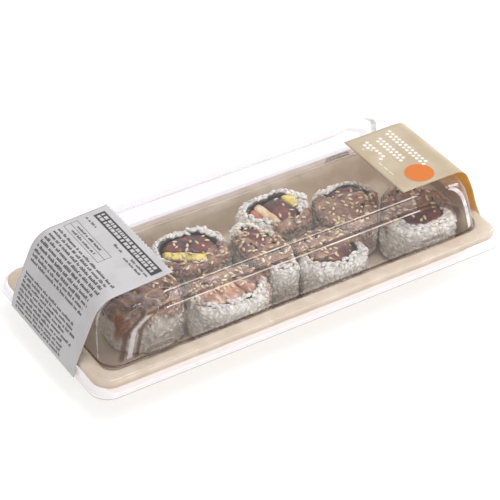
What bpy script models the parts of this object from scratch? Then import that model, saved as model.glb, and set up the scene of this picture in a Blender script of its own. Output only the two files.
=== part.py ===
"""Takeaway sushi tray: filled rice rolls in a moulded fibre tray, shut under a clear domed lid.

The frame has its origin on the table under the middle of the pack, +X along the pack towards the
kraft sticker, +Y across the pack and +Z up. The paper label hangs over the end at -X.
Every dimension below is in millimetres, and the solids are made in metres.
"""

import math
import random

import bmesh
import bpy
from mathutils import Vector
from mathutils.bvhtree import BVHTree

MM = 0.001
GAP = 0.35

# Moulded fibre tray
RIM_HALF_LENGTH = 108.35
RIM_HALF_WIDTH = 47.95
RIM_CORNER = 8.5
RIM_TOP = 19.0
RIM_BAND = 7.4
RIM_SKIRT = 3.4
FIBRE = 1.2
WALL_DRAFT = 3.7
FLOOR_TOP = 1.4

# Clear lid
LIP_HALF_LENGTH = 111.0
LIP_HALF_WIDTH = 51.4
LIP_CORNER = 9.5
LIP_HEIGHT = 12.3
FILM = 0.5
DOME_HALF_LENGTH = 101.3
DOME_HALF_WIDTH = 40.9
DOME_TOP = 45.2
DOME_SHOULDER = 38.4
BEVEL_END = 64.0
BEVEL_BLEND = 11.0
BEVEL_PER_RISE = 0.344
FLARE_END = 0.7
FLARE_SIDE = 0.9

# Paper label over the left end and kraft sticker over the right end
PAPER = 0.35
LABEL_EDGE = 57.5
LABEL_BACK = 36.0
LABEL_FRONT = -24.0
LABEL_SLANT = -4.8
LABEL_BEND_X = -88.0
LABEL_BEND = 13.0
LABEL_BEND_END = 156.0
STICKER_EDGE = 63.0
STICKER_BACK = 20.5
STICKER_FRONT = -28.5
STICKER_BEND_X = 96.2
STICKER_BEND = 6.5
STICKER_BEND_END = 18.0

# Rolls
NORI = 0.8
ROLL_POINTS = 30
ROLL_SQUARENESS = 2.35
ROLL_UNEVEN = 0.35
FILLING_POINTS = 14
ROLL_FLOOR = FLOOR_TOP + GAP
FOOD_HALF_LENGTH = 99.0
FOOD_HALF_WIDTH = 38.8
FOOD_DRAFT = 0.155
FOOD_TOE = 4.0
FOOD_TOE_DRAFT = 0.6
ROLLS = (
    {"centre": (-63.5, -4.0), "half": (20.2, 20.6), "top": 23.6, "ring": 6.2, "stack": 50.0,
     "fillings": (("chicken", 0.40), ("avocado", 0.20), ("chicken", 0.40))},
    {"centre": (-28.5, -22.3), "half": (21.3, 16.5), "top": 23.4, "ring": 5.4, "stack": 8.0,
     "fillings": (("chicken", 0.30), ("chicken", 0.38), ("chicken", 0.32))},
    {"centre": (-27.5, 12.5), "half": (20.5, 17.8), "top": 23.0, "ring": 4.8, "stack": 55.0,
     "fillings": (("chicken", 0.14), ("avocado", 0.25), ("chicken", 0.61))},
    {"centre": (2.5, -5.0), "half": (12.6, 24.0), "top": 24.6, "ring": 4.6, "stack": 80.0,
     "fillings": (("chicken", 0.30), ("avocado", 0.20), ("chicken", 0.50))},
    {"centre": (23.5, 16.6), "half": (21.3, 16.4), "top": 23.4, "ring": 4.7, "stack": 6.0,
     "fillings": (("carrot", 0.16), ("chicken", 0.18), ("chicken", 0.44), ("avocado", 0.22))},
    {"centre": (27.6, -20.5), "half": (19.0, 18.3), "top": 22.6, "ring": 5.4, "stack": 80.0,
     "fillings": (("chicken", 0.44), ("avocado", 0.20), ("chicken", 0.36))},
    {"centre": (55.0, 3.6), "half": (19.7, 19.0), "top": 23.4, "ring": 5.2, "stack": 35.0,
     "fillings": (("chicken", 0.34), ("avocado", 0.20), ("chicken", 0.46))},
    {"centre": (79.8, -16.7), "half": (19.4, 21.4), "top": 23.8, "ring": 5.6, "stack": 70.0,
     "fillings": (("chicken", 0.46), ("avocado", 0.18), ("chicken", 0.36))},
)

# Sesame on the rolls
SEED_LENGTH = 3.3
SEED_WIDTH = 1.8
SEED_HEIGHT = 1.2
SEED_COUNT = 150
SEED_TRIES = 3000
SEED_SPACING = 4.2
SEED_X = (-92.0, 95.0)
SEED_Y = (-3.0, 15.0)
SEED_LIFT = 0.15

COLOURS = {
    "fibre": ((0.60, 0.50, 0.37), 0.85),
    "clear_film": ((0.88, 0.88, 0.92), 0.08),
    "label_paper": ((0.66, 0.65, 0.67), 0.55),
    "kraft_paper": ((0.67, 0.50, 0.30), 0.75),
    "rice": ((0.70, 0.67, 0.60), 0.50),
    "seaweed": ((0.03, 0.035, 0.028), 0.45),
    "chicken": ((0.25, 0.10, 0.06), 0.30),
    "avocado": ((0.50, 0.45, 0.07), 0.40),
    "carrot": ((0.50, 0.15, 0.04), 0.35),
}


def clear_scene():
    for item in list(bpy.data.objects):
        bpy.data.objects.remove(item, do_unlink=True)


def make_material(node_name, kind):
    colour, roughness = COLOURS[kind]
    material = bpy.data.materials.new(f"{node_name}_{kind}")
    material.use_nodes = True
    shader = material.node_tree.nodes["Principled BSDF"]
    shader.inputs["Base Color"].default_value = (*colour, 1.0)
    shader.inputs["Roughness"].default_value = roughness
    shader.inputs["Metallic"].default_value = 0.0
    if kind == "clear_film":
        shader.inputs["Alpha"].default_value = 0.25
    return material


def add_solid(name, kind, rings, ring_round=False, crown=None):
    """Loft closed loops of points, in order, into one closed body.

    ring_round joins the last loop to the first, as on a pipe bent into a hoop. Otherwise both
    ends are closed, the last one round the point crown where one is given.
    """
    mesh = bmesh.new()
    loops = [[mesh.verts.new(Vector(point) * MM) for point in ring] for ring in rings]
    pairs = list(zip(loops, loops[1:]))
    if ring_round:
        pairs.append((loops[-1], loops[0]))
    for lower, upper in pairs:
        for index in range(len(lower)):
            after = (index + 1) % len(lower)
            mesh.faces.new((lower[index], lower[after], upper[after], upper[index]))
    if not ring_round:
        mesh.faces.new(loops[0])
        if crown is None:
            mesh.faces.new(loops[-1])
        else:
            peak = mesh.verts.new(Vector(crown) * MM)
            for index, vert in enumerate(loops[-1]):
                mesh.faces.new((vert, loops[-1][(index + 1) % len(loops[-1])], peak))
    bmesh.ops.triangulate(mesh, faces=mesh.faces[:])
    bmesh.ops.recalc_face_normals(mesh, faces=mesh.faces[:])
    data = bpy.data.meshes.new(name)
    mesh.to_mesh(data)
    mesh.free()
    data.materials.append(make_material(name, kind))
    item = bpy.data.objects.new(name, data)
    bpy.context.scene.collection.objects.link(item)
    return item


def smooth(value):
    value = min(1.0, max(0.0, value))
    return value * value * (3.0 - 2.0 * value)


def rounded_ring(half_length, half_width, corner, height, steps=5, side_xs=(), waist=0.0):
    """Rounded rectangle seen from above, anticlockwise.

    side_xs are further places along each long side, where the side is drawn in by waist at
    the middle of the pack and by nothing at its ends.
    """
    points = []
    for quarter, (sign_x, sign_y) in enumerate(((1, 1), (-1, 1), (-1, -1), (1, -1))):
        for step in range(steps + 1):
            angle = (quarter + step / steps) * math.pi / 2.0
            x = sign_x * (half_length - corner) + corner * math.cos(angle)
            y = sign_y * (half_width - corner) + corner * math.sin(angle)
            points.append((x, y, height))
        if quarter in (0, 2):
            for x in sorted((*side_xs, *(-x for x in side_xs)), reverse=sign_y > 0):
                drawn_in = waist * (1.0 - smooth((abs(x) - BEVEL_END) / BEVEL_BLEND))
                points.append((x, sign_y * (half_width - drawn_in), height))
    return points


def make_tray():
    """Profile of the tray from under its floor, out round the rolled rim and back inside."""
    mouth = RIM_BAND
    profile = (
        (mouth + WALL_DRAFT + 2.6, 0.0),
        (mouth + WALL_DRAFT + 0.6, 0.5),
        (mouth + WALL_DRAFT - FIBRE, 3.0),
        (mouth - 0.2, RIM_TOP - FIBRE - 0.8),
        (mouth - FIBRE - 0.4, RIM_TOP - FIBRE),
        (FIBRE + 0.6, RIM_TOP - FIBRE),
        (FIBRE, RIM_TOP - RIM_SKIRT),
        (0.0, RIM_TOP - RIM_SKIRT),
        (0.15, RIM_TOP - 1.3),
        (1.1, RIM_TOP - 0.3),
        (3.0, RIM_TOP),
        (mouth - 1.6, RIM_TOP - 0.1),
        (mouth, RIM_TOP - 0.9),
        (mouth + 1.1, RIM_TOP - 1.9),
        (mouth + WALL_DRAFT - 0.4, 4.0),
        (mouth + WALL_DRAFT + 0.8, FLOOR_TOP + 0.6),
        (mouth + WALL_DRAFT + 2.4, FLOOR_TOP),
    )
    rings = [
        rounded_ring(RIM_HALF_LENGTH - inset, RIM_HALF_WIDTH - inset, RIM_CORNER - 0.35 * inset, z)
        for inset, z in profile
    ]
    add_solid("tray", "fibre", rings)


def dome_profile():
    """Half length, half width, corner radius, height and waist of the dome, from base to top.

    The waist grows with the height above the shoulder, which slopes the cut-back band.
    """
    end_curve = (
        (DOME_HALF_LENGTH, DOME_HALF_WIDTH, 9.0, RIM_TOP + GAP + FILM),
        (100.0, 38.2, 9.5, 31.0),
        (98.4, 36.5, 10.0, DOME_SHOULDER),
        (96.3, 36.3, 10.5, 41.4),
        (93.2, 36.2, 11.0, 43.6),
        (90.2, 35.9, 11.0, 44.6),
        (87.0, 35.0, 11.0, DOME_TOP),
    )
    return [
        (length, width, corner, z, max(0.0, z - DOME_SHOULDER) * BEVEL_PER_RISE)
        for length, width, corner, z in end_curve
    ]


def make_lid():
    """Clear film pressed over the tray's rim, with a dome whose long top edges are cut back."""
    side_xs = (BEVEL_END, BEVEL_END + 0.35 * BEVEL_BLEND, BEVEL_END + 0.65 * BEVEL_BLEND,
               BEVEL_END + BEVEL_BLEND)
    rim_clear = RIM_HALF_LENGTH + GAP
    rim_clear_width = RIM_HALF_WIDTH + GAP
    shelf = RIM_TOP + GAP
    skirt_corner = RIM_CORNER + GAP

    def ring(half_length, half_width, corner, z, waist=0.0):
        return rounded_ring(half_length, half_width, corner, z, side_xs=side_xs, waist=waist)

    inner = [
        ring(LIP_HALF_LENGTH, LIP_HALF_WIDTH, LIP_CORNER, LIP_HEIGHT),
        ring(rim_clear + FLARE_END, rim_clear_width + FLARE_SIDE, skirt_corner + 0.8, LIP_HEIGHT),
        ring(rim_clear, rim_clear_width, skirt_corner, RIM_TOP - 1.0),
        ring(rim_clear - 1.0, rim_clear_width - 1.0, skirt_corner - 0.6, shelf),
    ]
    outer = [
        ring(LIP_HALF_LENGTH, LIP_HALF_WIDTH, LIP_CORNER, LIP_HEIGHT + FILM),
        ring(rim_clear + FLARE_END + FILM, rim_clear_width + FLARE_SIDE + FILM, skirt_corner + 1.2,
             LIP_HEIGHT + FILM),
        ring(rim_clear + FILM, rim_clear_width + FILM, skirt_corner + FILM, RIM_TOP - 1.0),
        ring(rim_clear - 1.0 + 0.3, rim_clear_width - 1.0 + 0.3, skirt_corner - 0.3, shelf + FILM),
    ]
    for length, width, corner, z, waist in dome_profile():
        outer.append(ring(length, width, corner, z, waist))
        inner.append(ring(length - FILM, width - FILM, corner - FILM, z - FILM, waist))
    add_solid("lid", "clear_film", list(reversed(inner)) + outer)


def sheet_rings(path, front, back, slant):
    """Loops across a strip of paper whose middle line runs along path, one loop at each point."""
    lengths = [0.0]
    for (x0, z0), (x1, z1) in zip(path, path[1:]):
        lengths.append(lengths[-1] + math.hypot(x1 - x0, z1 - z0))
    rings = []
    for index, (x, z) in enumerate(path):
        x0, z0 = path[max(0, index - 1)]
        x1, z1 = path[min(len(path) - 1, index + 1)]
        run = math.hypot(x1 - x0, z1 - z0)
        across = ((z1 - z0) / run * PAPER / 2.0, -(x1 - x0) / run * PAPER / 2.0)
        shift = slant * lengths[index] / lengths[-1]
        rings.append([
            (x + across[0], front + shift, z + across[1]),
            (x + across[0], back + shift, z + across[1]),
            (x - across[0], back + shift, z - across[1]),
            (x - across[0], front + shift, z - across[1]),
        ])
    return rings


def bend(centre_x, centre_z, radius, start, end, steps):
    """Points on an arc in the XZ plane; angles in degrees from +X towards +Z."""
    points = []
    for step in range(steps + 1):
        angle = math.radians(start + (end - start) * step / steps)
        points.append((centre_x + radius * math.cos(angle), centre_z + radius * math.sin(angle)))
    return points


def make_papers():
    """Two strips that leave the flat top, bend down each end and stop level with the lid's lip."""
    on_top = DOME_TOP + GAP + PAPER / 2.0
    foot = (LIP_HALF_LENGTH + 0.75, LIP_HEIGHT - 0.2)
    label_path = [(-LABEL_EDGE, on_top)]
    label_path += bend(LABEL_BEND_X, on_top - LABEL_BEND, LABEL_BEND, 90.0, LABEL_BEND_END, 7)
    label_path += [(-108.6, 21.2), (-109.9, 18.4), (-foot[0], foot[1])]
    add_solid("label", "label_paper",
              sheet_rings(label_path, LABEL_FRONT, LABEL_BACK, LABEL_SLANT))
    sticker_path = [(STICKER_EDGE, on_top)]
    sticker_path += bend(STICKER_BEND_X, on_top - STICKER_BEND, STICKER_BEND, 90.0, STICKER_BEND_END, 5)
    sticker_path += [(108.9, 21.2), (109.9, 18.4), foot]
    add_solid("sticker", "kraft_paper", sheet_rings(sticker_path, STICKER_FRONT, STICKER_BACK, 0.0))


def reach(roll, x, y):
    """How far out (x, y) lies in a roll: 0 at its middle, 1 on its unpressed outline."""
    centre_x, centre_y = roll["centre"]
    half_x, half_y = roll["half"]
    power = ROLL_SQUARENESS
    return (abs((x - centre_x) / half_x) ** power + abs((y - centre_y) / half_y) ** power) ** (1 / power)


def inside_roll(roll, x, y):
    if abs(x) > FOOD_HALF_LENGTH or abs(y) > FOOD_HALF_WIDTH:
        return False
    own = reach(roll, x, y)
    return own <= 1.0 and all(own <= reach(other, x, y) for other in ROLLS if other is not roll)


def roll_outline(roll, number):
    """Radius of a roll in each direction, pressed flat where it meets its neighbours."""
    draw = random.Random(100 + number)
    waves = [(count, draw.uniform(0.15, 0.45), draw.uniform(0.0, math.tau)) for count in (3, 5, 7, 11)]
    centre_x, centre_y = roll["centre"]
    radii = []
    for index in range(ROLL_POINTS):
        angle = math.tau * index / ROLL_POINTS
        low = 0.0
        high = 2.0 * max(roll["half"])
        for _ in range(22):
            middle = (low + high) / 2.0
            if inside_roll(roll, centre_x + middle * math.cos(angle), centre_y + middle * math.sin(angle)):
                low = middle
            else:
                high = middle
        uneven = sum(size * (1.0 + math.sin(count * angle + phase)) for count, size, phase in waves)
        radii.append(low - GAP - ROLL_UNEVEN * uneven)
    return radii


def roll_ring(roll, radii, inset, height):
    """One loop round a roll, kept off the drafted walls of the tray; height may vary round it."""
    centre_x, centre_y = roll["centre"]
    points = []
    for index, radius in enumerate(radii):
        angle = math.tau * index / len(radii)
        distance = radius - inset
        z = height[index] if isinstance(height, list) else height
        wall = FOOD_DRAFT * max(0.0, RIM_TOP - z) + FOOD_TOE_DRAFT * max(0.0, FOOD_TOE - z)
        limit_x = FOOD_HALF_LENGTH - wall
        limit_y = FOOD_HALF_WIDTH - wall
        x = centre_x + distance * math.cos(angle)
        y = centre_y + distance * math.sin(angle)
        points.append((min(limit_x, max(-limit_x, x)), min(limit_y, max(-limit_y, y)), z))
    return points


def wrap_line(roll, radii, number):
    """Radius of the seaweed's outer face in each direction."""
    draw = random.Random(200 + number)
    phase = draw.uniform(0.0, math.tau)
    line = []
    for index, radius in enumerate(radii):
        angle = math.tau * index / len(radii)
        line.append(radius - roll["ring"] * (1.0 + 0.12 * math.sin(2.0 * angle + phase)
                                             + 0.05 * math.sin(5.0 * angle + 2.0 * phase)))
    return line


def make_rice(roll, radii, line, number):
    draw = random.Random(300 + number)
    top = roll["top"]
    crest = [top + draw.uniform(-0.7, 0.7) for _ in radii]
    edge = [z - draw.uniform(1.4, 2.4) for z in crest]
    brink = [z - draw.uniform(0.2, 0.9) for z in crest]
    rings = [
        roll_ring(roll, radii, 1.9, ROLL_FLOOR),
        roll_ring(roll, radii, 0.5, ROLL_FLOOR + 2.2),
        roll_ring(roll, radii, 0.0, ROLL_FLOOR + 0.5 * (top - ROLL_FLOOR)),
        roll_ring(roll, radii, 0.35, edge),
        roll_ring(roll, radii, 2.2, crest),
        roll_ring(roll, line, -GAP, brink),
        roll_ring(roll, line, -GAP, ROLL_FLOOR),
    ]
    return add_solid(f"rice_{number}", "rice", rings, ring_round=True)


def make_seaweed(roll, line, number):
    draw = random.Random(400 + number)
    rim = [roll["top"] + draw.uniform(-0.6, 0.3) for _ in line]
    rings = [
        roll_ring(roll, line, 0.0, ROLL_FLOOR),
        roll_ring(roll, line, 0.0, rim),
        roll_ring(roll, line, NORI, rim),
        roll_ring(roll, line, NORI, ROLL_FLOOR),
    ]
    return add_solid(f"seaweed_{number}", "seaweed", rings, ring_round=True)


def clip(outline, offset, normal):
    """Part of a flat outline where the distance along normal is at least offset."""
    kept = []
    for (x0, y0), (x1, y1) in zip(outline, outline[1:] + outline[:1]):
        before = x0 * normal[0] + y0 * normal[1] - offset
        after = x1 * normal[0] + y1 * normal[1] - offset
        if before >= 0.0:
            kept.append((x0, y0))
        if before * after < 0.0:
            share = before / (before - after)
            kept.append((x0 + share * (x1 - x0), y0 + share * (y1 - y0)))
    return kept


def evenly(outline, count):
    """The outline redrawn with count points at equal steps, which rounds its corners."""
    ends = outline[1:] + outline[:1]
    lengths = [math.dist(start, end) for start, end in zip(outline, ends)]
    step = sum(lengths) / count
    points = []
    walked = 0.0
    for (start, end), length in zip(zip(outline, ends), lengths):
        while len(points) < count and len(points) * step < walked + length:
            share = (len(points) * step - walked) / length
            points.append((start[0] + share * (end[0] - start[0]), start[1] + share * (end[1] - start[1])))
        walked += length
    return points


def make_fillings(roll, line, number):
    """Side by side pieces that run through the roll inside the seaweed."""
    draw = random.Random(500 + number)
    inner = [(x, y) for x, y, _ in roll_ring(roll, line, NORI + 2.0 * GAP, 0.0)]
    angle = math.radians(roll["stack"])
    normal = (math.cos(angle), math.sin(angle))
    along = [x * normal[0] + y * normal[1] for x, y in inner]
    start = min(along)
    span = max(along) - start
    pieces = []
    for order, (kind, share) in enumerate(roll["fillings"]):
        end = start + share * span
        piece = clip(inner, start + GAP / 2.0, normal)
        piece = clip(piece, -(end - GAP / 2.0), (-normal[0], -normal[1]))
        start = end
        outline = evenly(piece, FILLING_POINTS)
        middle_x = sum(x for x, _ in outline) / len(outline)
        middle_y = sum(y for _, y in outline) / len(outline)
        top = roll["top"] + draw.uniform(-0.5, 0.9)

        def ring(shrink, z):
            return [(middle_x + (x - middle_x) * shrink, middle_y + (y - middle_y) * shrink, z)
                    for x, y in outline]

        rings = [ring(1.0, ROLL_FLOOR), ring(1.0, top - 1.3), ring(0.86, top - 0.2)]
        crown = (middle_x, middle_y, top + 0.2)
        letter = "abcd"[order]
        pieces.append(add_solid(f"{kind}_{number}{letter}", kind, rings, crown=crown))
    return pieces


def seed_mesh(x, y, z, turn):
    """One sesame seed lying half sunk: a pointed end, two rings of five and a blunt end."""
    stations = ((-0.5, 0.0), (-0.28, 0.62), (0.16, 1.0), (0.5, 0.0))
    mesh = bmesh.new()
    loops = []
    for along, girth in stations:
        count = 1 if girth == 0.0 else 5
        loop = []
        for index in range(count):
            angle = math.tau * (index + 0.25) / 5
            side = 0.5 * SEED_WIDTH * girth * math.cos(angle)
            rise = 0.5 * SEED_HEIGHT * girth * math.sin(angle)
            forward = along * SEED_LENGTH
            loop.append(mesh.verts.new((
                (x + forward * math.cos(turn) - side * math.sin(turn)) * MM,
                (y + forward * math.sin(turn) + side * math.cos(turn)) * MM,
                (z + rise) * MM)))
        loops.append(loop)
    for index in range(5):
        after = (index + 1) % 5
        mesh.faces.new((loops[0][0], loops[1][index], loops[1][after]))
        mesh.faces.new((loops[1][index], loops[2][index], loops[2][after], loops[1][after]))
        mesh.faces.new((loops[3][0], loops[2][after], loops[2][index]))
    bmesh.ops.recalc_face_normals(mesh, faces=mesh.faces[:])
    data = bpy.data.meshes.new("seed")
    mesh.to_mesh(data)
    mesh.free()
    return data


def place_seeds(foods):
    """Lay sesame over the rolls, thickest along the middle, each seed wholly on one piece."""
    draw = random.Random(7)
    trees = [(item, BVHTree.FromPolygons([v.co for v in item.data.vertices],
                                         [list(p.vertices) for p in item.data.polygons]))
             for item in foods]

    def surface(x, y):
        best = None
        for item, tree in trees:
            hit, _, _, _ = tree.ray_cast(Vector((x * MM, y * MM, 0.06)), Vector((0.0, 0.0, -1.0)))
            if hit is not None and (best is None or hit.z > best[1]):
                best = (item, hit.z)
        return best

    placed = []
    per_food = {}
    for _ in range(SEED_TRIES):
        if len(placed) == SEED_COUNT:
            break
        x = draw.uniform(*SEED_X)
        y = draw.gauss(*SEED_Y)
        turn = draw.uniform(0.0, math.pi)
        if any(math.dist((x, y), other) < SEED_SPACING for other in placed):
            continue
        probes = [(0.0, 0.0), (0.7, 0.0), (-0.7, 0.0), (0.0, 0.8), (0.0, -0.8)]
        hits = []
        for along, side in probes:
            forward = along * SEED_LENGTH
            sideways = side * SEED_WIDTH
            hits.append(surface(x + forward * math.cos(turn) - sideways * math.sin(turn),
                                y + forward * math.sin(turn) + sideways * math.cos(turn)))
        if any(hit is None or hit[0] is not hits[0][0] for hit in hits):
            continue
        heights = [hit[1] / MM for hit in hits]
        if max(heights) - min(heights) > 0.8 or min(heights) < 18.0:
            continue
        placed.append((x, y))
        seed = seed_mesh(x, y, sum(heights) / len(heights) + SEED_LIFT, turn)
        per_food.setdefault(hits[0][0].name, []).append(seed)
    return per_food


def fuse_seeds(item, seeds):
    """Join the seeds to the piece they lie on with one Boolean union."""
    group = bpy.data.collections.new(f"{item.name}_seeds")
    for data in seeds:
        group.objects.link(bpy.data.objects.new("seed", data))
    union = item.modifiers.new("seeds", "BOOLEAN")
    union.operation = "UNION"
    union.operand_type = "COLLECTION"
    union.collection = group
    union.solver = "EXACT"
    bpy.context.scene.collection.children.link(group)
    graph = bpy.context.evaluated_depsgraph_get()
    fused = bpy.data.meshes.new_from_object(item.evaluated_get(graph))
    item.modifiers.remove(union)
    material = item.data.materials[0]
    item.data = fused
    fused.materials.clear()
    fused.materials.append(material)
    for seed in list(group.objects):
        bpy.data.objects.remove(seed, do_unlink=True)
    bpy.data.collections.remove(group)


def make_rolls():
    foods = []
    for number, roll in enumerate(ROLLS, start=1):
        radii = roll_outline(roll, number)
        line = wrap_line(roll, radii, number)
        foods.append(make_rice(roll, radii, line, number))
        foods.append(make_seaweed(roll, line, number))
        foods.extend(make_fillings(roll, line, number))
    return foods


def main():
    clear_scene()
    make_tray()
    make_lid()
    make_papers()
    foods = make_rolls()
    by_name = {item.name: item for item in foods}
    for name, seeds in place_seeds(foods).items():
        fuse_seeds(by_name[name], seeds)


main()
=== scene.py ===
# %% [markdown]
# # A takeaway sushi tray
# The object is a shut pack: eight filled rice rolls stand in a moulded fibre tray, a clear lid snaps
# over the rim, a paper label hangs over one end and a kraft sticker over the other. The solid model
# gives every size and place. This lesson dresses it: each cell makes one piece or one finish.
# Everything is worked out in millimetres, as on a drawing, and turned into metres when it is made.

# %% Load the solid model
import math
import random

import bmesh
import bpy
import numpy as np
from mathutils import Euler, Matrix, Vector
from mathutils.bvhtree import BVHTree
from mathutils.kdtree import KDTree


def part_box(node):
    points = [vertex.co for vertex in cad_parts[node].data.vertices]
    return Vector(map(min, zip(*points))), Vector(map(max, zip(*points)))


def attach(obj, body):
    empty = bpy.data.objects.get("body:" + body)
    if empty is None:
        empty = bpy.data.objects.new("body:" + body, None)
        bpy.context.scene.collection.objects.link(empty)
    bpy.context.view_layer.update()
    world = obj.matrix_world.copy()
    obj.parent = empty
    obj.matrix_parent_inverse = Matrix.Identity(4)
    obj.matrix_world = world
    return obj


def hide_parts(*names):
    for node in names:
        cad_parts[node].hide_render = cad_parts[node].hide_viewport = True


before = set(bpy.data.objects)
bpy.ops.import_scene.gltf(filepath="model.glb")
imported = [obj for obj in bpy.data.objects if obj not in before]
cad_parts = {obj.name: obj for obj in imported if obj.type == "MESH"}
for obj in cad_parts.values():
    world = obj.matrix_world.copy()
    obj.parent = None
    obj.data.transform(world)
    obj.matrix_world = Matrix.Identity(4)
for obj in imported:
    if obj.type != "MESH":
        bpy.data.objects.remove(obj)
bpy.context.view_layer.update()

MM = 0.001

# %% [markdown]
# The camera comes first, because every later choice is judged through it. A long lens, far away,
# keeps the pack's long edges nearly parallel, as in a product picture. Its place and turn were
# solved from the straight edges of the tray and the lid.

# %% Camera
CAMERA_PLACE = (-0.41093, -0.64828, 0.59949)
CAMERA_TURN = (52.912, -0.189, -32.072)
LENS = 147.7

camera_data = bpy.data.cameras.new("camera")
camera_data.lens = LENS
camera_data.sensor_width = 36.0
camera = bpy.data.objects.new("camera", camera_data)
camera.location = CAMERA_PLACE
camera.rotation_euler = Euler([math.radians(angle) for angle in CAMERA_TURN])
bpy.context.scene.collection.objects.link(camera)
bpy.context.scene.camera = camera
print("camera is", round(Vector(CAMERA_PLACE).length, 2), "m away")

# %% [markdown]
# Shader maths reads best as plain arithmetic. Wire wraps one output of a node, and its operators
# add Math nodes, so that `1 - mask` works. Colours are given as an image editor shows them, from 0
# to 255, and are straightened to linear light.

# %% Arithmetic on wires
class Wire:
    """One output of a node, on which sums can be written."""

    def __init__(self, recipe, socket):
        self.recipe = recipe
        self.socket = socket

    def sum(self, operation, first, second):
        return self.recipe.node("ShaderNodeMath", {"operation": operation}, {0: first, 1: second})

    def __add__(self, other):
        return self.sum("ADD", self, other)

    def __radd__(self, other):
        return self.sum("ADD", other, self)

    def __sub__(self, other):
        return self.sum("SUBTRACT", self, other)

    def __rsub__(self, other):
        return self.sum("SUBTRACT", other, self)

    def __mul__(self, other):
        return self.sum("MULTIPLY", self, other)

    def __rmul__(self, other):
        return self.sum("MULTIPLY", other, self)

    def __truediv__(self, other):
        return self.sum("DIVIDE", self, other)

    def __abs__(self):
        return self.recipe.node("ShaderNodeMath", {"operation": "ABSOLUTE"}, {0: self})

    def rise(self, low, high):
        """0 below low, 1 above high and a soft step between; low may be above high."""
        return self.recipe.node(
            "ShaderNodeMapRange",
            {"interpolation_type": "SMOOTHSTEP"},
            {"Value": self, "From Min": low, "From Max": high},
        )

    def band(self, start, full, fade, end):
        """1 from full to fade and 0 outside start and end."""
        return self.rise(start, full) * self.rise(end, fade)

    def other(self, name):
        """Another output of the same node."""
        return Wire(self.recipe, self.socket.node.outputs[name])


def straighten(level):
    """Linear light from a level between 0 and 255."""
    share = level / 255.0
    return share / 12.92 if share <= 0.04045 else ((share + 0.055) / 1.055) ** 2.4


def paint(red, green, blue):
    return (straighten(red), straighten(green), straighten(blue), 1.0)


print("mid grey", paint(128, 128, 128))

# %% [markdown]
# Every finish below is one Recipe. Its method node makes any node: settings such as a noise's type
# are set first, then each socket gets a value or a wire. The few steps that come back in most
# finishes, cloudy noise, a blend of two colours and relief, have short methods of their own.

# %% Recipe for a material
class Recipe:
    """One material, built node by node."""

    def __init__(self, name):
        self.material = bpy.data.materials.new(name)
        self.material.use_nodes = True
        self.tree = self.material.node_tree
        self.tree.nodes.clear()
        self.place = self.node("ShaderNodeTexCoord", {}, {}, "Object")

    def node(self, kind, settings, sockets, output=None):
        made = self.tree.nodes.new(kind)
        for setting, value in settings.items():
            setattr(made, setting, value)
        for key, value in sockets.items():
            if isinstance(key, int):
                socket = made.inputs[key]
            else:
                socket = next(s for s in made.inputs if s.enabled and s.name == key)
            if isinstance(value, Wire):
                self.tree.links.new(value.socket, socket)
            else:
                socket.default_value = value
        if output:
            return Wire(self, made.outputs[output])
        shown = [socket for socket in made.outputs if socket.enabled]
        return Wire(self, shown[0]) if shown else None

    def noise(self, size, detail=3.0, stretch=(1.0, 1.0, 1.0), shift=0.0):
        """Cloudy noise round 0.5 whose features measure about size millimetres."""
        where = self.node(
            "ShaderNodeMapping", {},
            {"Vector": self.place, "Scale": stretch, "Location": (shift, shift, shift)},
        )
        return self.node(
            "ShaderNodeTexNoise", {},
            {"Vector": where, "Scale": 1.0 / (size * MM), "Detail": detail}, "Fac",
        )

    def blend(self, share, first, second):
        return self.node(
            "ShaderNodeMix", {"data_type": "RGBA"}, {"Factor": share, "A": first, "B": second}
        )

    def axes(self):
        """The place on the object along X, Y and Z, in millimetres."""
        x = self.node("ShaderNodeSeparateXYZ", {}, {"Vector": self.place}, "X")
        return x / MM, x.other("Y") / MM, x.other("Z") / MM

    def written(self, name):
        """A value that the mesh carries on its points."""
        return self.node("ShaderNodeAttribute", {"attribute_name": name}, {}, "Fac")

    def bump(self, height, depth):
        """Relief from a height wire; depth is in millimetres."""
        return self.node(
            "ShaderNodeBump", {}, {"Height": height, "Distance": depth * MM, "Strength": 1.0}
        )

    def finish(self, colour, roughness, **sockets):
        named = {name.replace("_", " "): value for name, value in sockets.items()}
        shader = self.node(
            "ShaderNodeBsdfPrincipled", {}, {"Base Color": colour, "Roughness": roughness, **named}
        )
        self.node("ShaderNodeOutputMaterial", {}, {"Surface": shader})
        return self.material


print("a recipe can", [name for name in vars(Recipe) if not name.startswith("_")])

# %% [markdown]
# A pack like this is pictured on a seamless white ground under big softboxes. A large panel above
# gives the lid its bright creases, a low one in front fills the shadows, one at the right lights the
# kraft sticker, and a pale room fills the rest. The ground glows a little, so that it stays white
# without throwing much colour on the pack. The Standard view keeps white paper white.

# %% Floor and light
AIM = Vector((0.0, 0.0, 0.02))
LAMPS = (
    ("top_panel", (0.10, -0.05, 0.95), (0.45, 0.3), 3.0),
    ("front_panel", (0.30, -1.05, 0.28), (0.9, 0.45), 3.4),
    ("side_panel", (0.95, 0.1, 0.45), (0.25, 0.6), 4.7),
)
ROOM_LIGHT = 0.78
FLOOR_HALF = 3.0
FLOOR_HEIGHT = -0.0003
FLOOR_GLOW = 0.64


def softbox(name, place, size, power):
    data = bpy.data.lights.new(name, "AREA")
    data.shape = "RECTANGLE"
    data.size, data.size_y = size
    data.energy = power
    lamp = bpy.data.objects.new(name, data)
    lamp.location = place
    lamp.rotation_euler = (AIM - Vector(place)).to_track_quat("-Z", "Y").to_euler()
    bpy.context.scene.collection.objects.link(lamp)


for name, place, size, power in LAMPS:
    softbox(name, place, size, power)

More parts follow.
